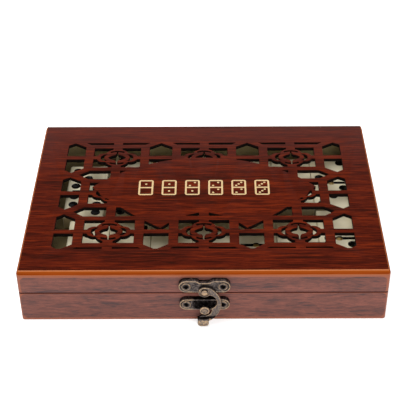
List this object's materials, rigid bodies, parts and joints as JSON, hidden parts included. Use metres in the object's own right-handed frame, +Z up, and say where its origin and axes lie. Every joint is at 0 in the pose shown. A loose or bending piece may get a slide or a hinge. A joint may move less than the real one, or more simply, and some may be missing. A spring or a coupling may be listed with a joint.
{
  "type": "domino storage box",
  "caption": "Shallow rosewood-finish wooden box with a hinged fretwork lid, solid gold-marked cartouche, antique swing-hook latch and back hinges, with ivory dominoes laid inside.",
  "frame": {"origin": "middle of the underside of the base, which is the face it stands on", "axes": "+X along the long side to the right, -Y out of the front face where the latch is, +Z up through the lid"},
  "size_m": [0.2, 0.1508, 0.0351],
  "materials": {
    "case_wood": "rosewood-printed board, glossy lacquer, sanded edges",
    "panel_wood": "rosewood-printed board, satin, dark cut edges",
    "gold_foil": "hot-stamped gold foil",
    "antique_bronze": "dark antique bronze with rubbed edges",
    "pin_brass": "satin",
    "spinner_brass": "polished",
    "ivory": "ivory with black recessed pips"
  },
  "bodies": {
    "base": {"base_floor": "case_wood", "base_front_wall": "case_wood", "base_back_wall": "case_wood", "base_left_wall": "case_wood", "base_right_wall": "case_wood", "hinge_left_base_leaf": "antique_bronze", "hinge_left_pin": "pin_brass", "hinge_right_base_leaf": "antique_bronze", "hinge_right_pin": "pin_brass", "hinge_base_screws": "antique_bronze", "latch_base_plate": "antique_bronze", "latch_base_screws": "antique_bronze", "latch_stud": "antique_bronze", "domino_spinners": "spinner_brass", "domino_0_0": "ivory", "domino_0_1": "ivory", "domino_0_2": "ivory", "domino_0_3": "ivory", "domino_0_4": "ivory", "domino_0_5": "ivory", "domino_0_6": "ivory", "domino_1_1": "ivory", "domino_1_2": "ivory", "domino_1_3": "ivory", "domino_1_4": "ivory", "domino_1_5": "ivory", "domino_1_6": "ivory", "domino_2_2": "ivory", "domino_2_3": "ivory", "domino_2_4": "ivory", "domino_2_5": "ivory", "domino_2_6": "ivory", "domino_3_3": "ivory", "domino_3_4": "ivory", "domino_3_5": "ivory", "domino_3_6": "ivory", "domino_4_4": "ivory", "domino_4_5": "ivory", "domino_4_6": "ivory", "domino_5_5": "ivory", "domino_5_6": "ivory", "domino_6_6": "ivory"},
    "lid": {"lid_fret_panel": "panel_wood", "lid_front_rail": "case_wood", "lid_back_rail": "case_wood", "lid_left_rail": "case_wood", "lid_right_rail": "case_wood", "lid_emblem": "gold_foil", "hinge_left_lid_leaf": "antique_bronze", "hinge_right_lid_leaf": "antique_bronze", "hinge_lid_screws": "antique_bronze", "latch_lid_plate": "antique_bronze", "latch_lid_screws": "antique_bronze", "latch_pivot_rivet": "antique_bronze"},
    "hook": {"latch_hook": "antique_bronze"}
  },
  "joints": [
    {"name": "lid_hinge", "type": "hinge", "parent": "base", "child": "lid", "pos_m": [0, 0.072, 0.0197], "axis": [-1, 0, 0], "range_deg": [0, 180]},
    {"name": "hook_swing", "type": "hinge", "parent": "lid", "child": "hook", "pos_m": [0.0006, -0.07375, 0.0237], "axis": [0, -1, 0], "range_deg": [0, 120]}
  ]
}
